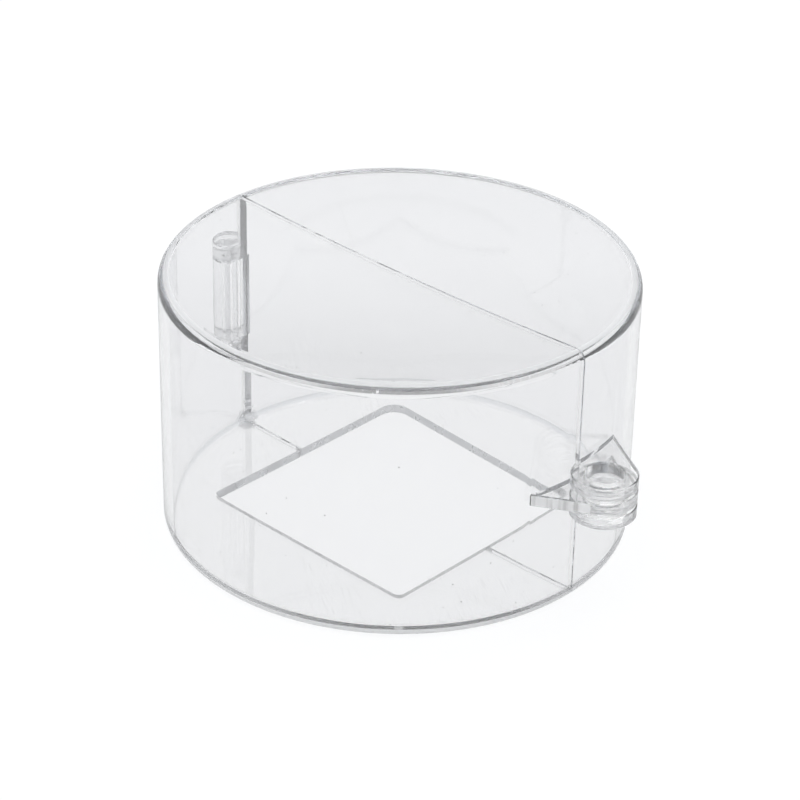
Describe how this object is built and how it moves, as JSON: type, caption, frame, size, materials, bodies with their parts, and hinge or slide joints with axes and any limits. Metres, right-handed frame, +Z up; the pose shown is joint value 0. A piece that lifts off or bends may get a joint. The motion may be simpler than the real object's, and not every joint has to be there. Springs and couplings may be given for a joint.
{
  "type": "hinged lock-out cover",
  "caption": "Clear round cover in hinged halves that closes over a control through a square opening in its base, with stacked hasp lugs for a padlock.",
  "frame": {"origin": "on the axis of the round shell, in the plane that it stands on", "axes": "+Z up through the top, +X towards the hasp, -X towards the hinge, -Y towards the front half; the halves meet in the plane y = 0"},
  "size_m": [0.1207, 0.1002, 0.0578],
  "materials": {
    "clear_shell": "clear polished polycarbonate",
    "clear_pin": "clear rod"
  },
  "bodies": {
    "rear": {"rear_cover_half": "clear_shell", "hinge_pin": "clear_pin"},
    "front": {"front_cover_half": "clear_shell"}
  },
  "joints": [
    {"name": "cover_hinge", "type": "hinge", "parent": "rear", "child": "front", "pos_m": [-0.053, 0, 0.0307], "axis": [0, 0, -1], "range_deg": [0, 180]}
  ]
}
